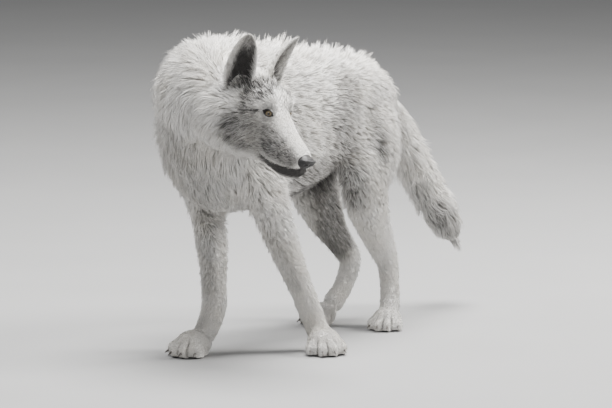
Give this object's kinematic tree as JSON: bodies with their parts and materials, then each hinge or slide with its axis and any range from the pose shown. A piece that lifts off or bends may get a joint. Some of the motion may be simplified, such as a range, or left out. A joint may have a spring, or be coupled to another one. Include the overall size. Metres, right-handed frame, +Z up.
{
  "type": "arctic wolf",
  "caption": "White wolf with a thick coat, standing with its head turned to its left and its tail hanging low; a still, life-size animal model.",
  "frame": {"origin": "on the floor, under the middle of the model's bounding box", "axes": "+Z up, the wolf's body faces -Y and its left side is +X; the head is turned towards +X"},
  "size_m": [0.5034, 1.1132, 0.7506],
  "materials": {
    "coat_white": "soft off-white fur",
    "ear_cream": "short off-white fur, darker in the hollow",
    "nose_black": "moist dark skin, finely pebbled",
    "lip_grey": "dark grey short fur and lips",
    "iris_amber": "wet and clear, amber iris with a round pupil",
    "claw_horn": "dark horn"
  },
  "bodies": {
    "root": {"head": "coat_white", "neck": "coat_white", "trunk": "coat_white", "tail": "coat_white", "lower_jaw": "lip_grey", "nose": "nose_black", "left_eye": "iris_amber", "right_eye": "iris_amber", "left_ear": "ear_cream", "right_ear": "ear_cream", "left_foreleg": "coat_white", "right_foreleg": "coat_white", "left_hindleg": "coat_white", "right_hindleg": "coat_white", "left_forepaw": "coat_white", "right_forepaw": "coat_white", "left_hindpaw": "coat_white", "right_hindpaw": "coat_white", "left_forepaw_claw_1": "claw_horn", "left_forepaw_claw_2": "claw_horn", "left_forepaw_claw_3": "claw_horn", "left_forepaw_claw_4": "claw_horn", "right_forepaw_claw_1": "claw_horn", "right_forepaw_claw_2": "claw_horn", "right_forepaw_claw_3": "claw_horn", "right_forepaw_claw_4": "claw_horn", "left_hindpaw_claw_1": "claw_horn", "left_hindpaw_claw_2": "claw_horn", "left_hindpaw_claw_3": "claw_horn", "left_hindpaw_claw_4": "claw_horn", "right_hindpaw_claw_1": "claw_horn", "right_hindpaw_claw_2": "claw_horn", "right_hindpaw_claw_3": "claw_horn", "right_hindpaw_claw_4": "claw_horn"}
  },
  "joints": []
}
